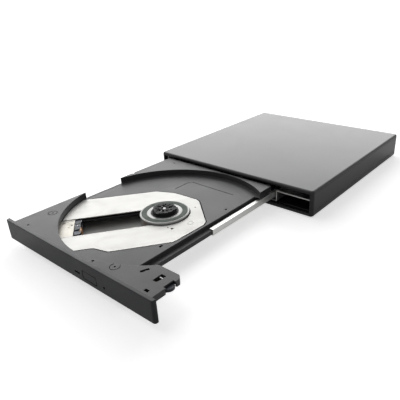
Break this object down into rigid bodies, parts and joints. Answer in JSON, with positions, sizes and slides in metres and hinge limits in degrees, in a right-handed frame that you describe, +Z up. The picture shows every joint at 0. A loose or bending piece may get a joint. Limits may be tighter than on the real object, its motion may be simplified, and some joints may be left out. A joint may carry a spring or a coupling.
{
  "type": "optical disc drive",
  "caption": "Slim external disc drive: flat dark enclosure, tray drawn out on steel rails, spindle and pickup under a bright metal cover.",
  "frame": {"origin": "middle of the footprint of the whole drive with its tray out, on the plane the feet stand on", "axes": "+X to the right seen from the front, +Y from the front bezel to the back of the enclosure, +Z up"},
  "size_m": [0.135, 0.27, 0.0185],
  "materials": {
    "shell_plastic": "satin",
    "foot_rubber": "matte",
    "screw_steel": "plain",
    "board_green": "satin",
    "chip_black": "matte",
    "socket_metal": "plain",
    "pan_steel": "zinc plated",
    "guide_plastic": "matte",
    "rail_steel": "plain",
    "flex_film": "satin",
    "tray_plastic": "matte",
    "bezel_plastic": "satin",
    "clear_plastic": "clear",
    "bright_plate": "bright",
    "frame_steel": "plain",
    "rod_steel": "ground",
    "spring_steel": "plain",
    "rotor_metal": "turned",
    "ring_rubber": "matte",
    "hub_plastic": "satin",
    "sled_metal": "cast",
    "cover_metal": "plated",
    "holder_plastic": "matte",
    "lens_glass": "coated",
    "magnet_metal": "plain"
  },
  "bodies": {
    "enclosure": {"top_shell": "shell_plastic", "bottom_shell": "shell_plastic", "rubber_feet": "foot_rubber", "case_screws": "screw_steel", "bridge_board": "board_green", "bridge_chips": "chip_black", "usb_socket": "socket_metal", "usb_socket_insulator": "chip_black", "drive_connector": "chip_black", "drive_pan": "pan_steel", "drive_cover": "pan_steel", "chassis_screws": "screw_steel", "drive_board": "board_green", "drive_board_chips": "chip_black", "drive_rear_connector": "chip_black", "left_rail_guide": "guide_plastic", "right_rail_guide": "guide_plastic", "latch_striker": "pan_steel", "flex_cable": "flex_film"},
    "left_rail_body": {"left_rail": "rail_steel"},
    "right_rail_body": {"right_rail": "rail_steel"},
    "tray": {"tray_moulding": "tray_plastic", "front_bezel": "bezel_plastic", "light_lens": "clear_plastic", "front_board": "board_green", "switch_and_light": "chip_black", "traverse_cover": "bright_plate", "tray_bottom_plate": "bright_plate", "tray_screws": "screw_steel", "tray_board": "board_green", "tray_board_chips": "chip_black", "traverse_frame": "frame_steel", "damper_bushes": "foot_rubber", "damper_screws": "screw_steel", "guide_rods": "rod_steel", "spindle_stator": "frame_steel", "feed_motor": "frame_steel", "release_magnet": "magnet_metal", "latch_pivot": "rod_steel", "latch_spring": "spring_steel", "pickup_flex": "flex_film", "ejector_spring": "spring_steel"},
    "ejector": {"ejector_pin": "rod_steel"},
    "spindle": {"spindle_rotor": "rotor_metal", "turntable_ring": "ring_rubber", "hub": "hub_plastic", "spindle_shaft": "rod_steel", "claw_springs": "spring_steel"},
    "claw_1": {"hub_claw_1": "hub_plastic"},
    "claw_2": {"hub_claw_2": "hub_plastic"},
    "claw_3": {"hub_claw_3": "hub_plastic"},
    "pickup": {"pickup_sled": "sled_metal", "pickup_cover": "cover_metal", "sled_nut": "holder_plastic"},
    "lens": {"lens_holder": "holder_plastic", "objective_lens": "lens_glass"},
    "feed_screw_body": {"feed_screw": "rod_steel"},
    "button": {"eject_button": "bezel_plastic"},
    "latch": {"latch_hook": "holder_plastic"},
    "plunger": {"magnet_plunger": "magnet_metal"}
  },
  "joints": [
    {"name": "tray_slide", "type": "slide", "parent": "enclosure", "child": "tray", "axis": [0, 1, 0], "range_m": [0, 0.13], "deforming": ["flex_cable"]},
    {"name": "left_rail_slide", "type": "slide", "parent": "enclosure", "child": "left_rail_body", "axis": [0, 1, 0], "range_m": [0, 0.065]},
    {"name": "right_rail_slide", "type": "slide", "parent": "enclosure", "child": "right_rail_body", "axis": [0, 1, 0], "range_m": [0, 0.065]},
    {"name": "ejector_slide", "type": "slide", "parent": "tray", "child": "ejector", "axis": [0, 1, 0], "range_m": [-0.01, 0], "deforming": ["ejector_spring"]},
    {"name": "spindle_spin", "type": "hinge", "parent": "tray", "child": "spindle", "pos_m": [0.0022, -0.0692, 0.0093], "axis": [0, 0, 1], "continuous": true},
    {"name": "claw_1_slide", "type": "slide", "parent": "spindle", "child": "claw_1", "axis": [-0.788, -0.6157, 0], "range_m": [0, 0.0006], "stiffness_N_per_m": 200, "deforming": ["claw_springs"]},
    {"name": "claw_2_slide", "type": "slide", "parent": "spindle", "child": "claw_2", "axis": [0.9272, -0.3746, 0], "range_m": [0, 0.0006], "stiffness_N_per_m": 200, "deforming": ["claw_springs"]},
    {"name": "claw_3_slide", "type": "slide", "parent": "spindle", "child": "claw_3", "axis": [-0.1392, 0.9903, 0], "range_m": [0, 0.0006], "stiffness_N_per_m": 200, "deforming": ["claw_springs"]},
    {"name": "pickup_slide", "type": "slide", "parent": "tray", "child": "pickup", "axis": [0.6101, 0.7923, 0], "range_m": [-0.006, 0.028], "deforming": ["pickup_flex"]},
    {"name": "lens_focus", "type": "slide", "parent": "pickup", "child": "lens", "axis": [0, 0, 1], "range_m": [-0.0004, 0.0004], "stiffness_N_per_m": 20},
    {"name": "feed_screw_turn", "type": "hinge", "parent": "tray", "child": "feed_screw_body", "pos_m": [-0.02472, -0.06564, 0.0069], "axis": [-0.6101, -0.7923, 0], "continuous": true},
    {"name": "eject_button_press", "type": "slide", "parent": "tray", "child": "button", "axis": [0, 1, 0], "range_m": [0, 0.0006], "stiffness_N_per_m": 400},
    {"name": "latch_turn", "type": "hinge", "parent": "tray", "child": "latch", "pos_m": [0.0527, -0.1287, 0.0136], "axis": [0, 0, 1], "range_deg": [0, 10], "stiffness_Nm_per_rad": 0.02, "deforming": ["latch_spring"]},
    {"name": "plunger_slide", "type": "slide", "parent": "tray", "child": "plunger", "axis": [1, 0, 0], "range_m": [-0.00087, 0]}
  ],
  "couplings": [
    {"joint": "left_rail_slide", "follows": "tray_slide", "ratio": 0.5},
    {"joint": "right_rail_slide", "follows": "tray_slide", "ratio": 0.5},
    {"joint": "ejector_slide", "follows": "tray_slide", "ratio": -0.076923},
    {"joint": "feed_screw_turn", "follows": "pickup_slide", "rad_per_m": 2094.4},
    {"joint": "latch_turn", "follows": "plunger_slide", "rad_per_m": -200}
  ]
}
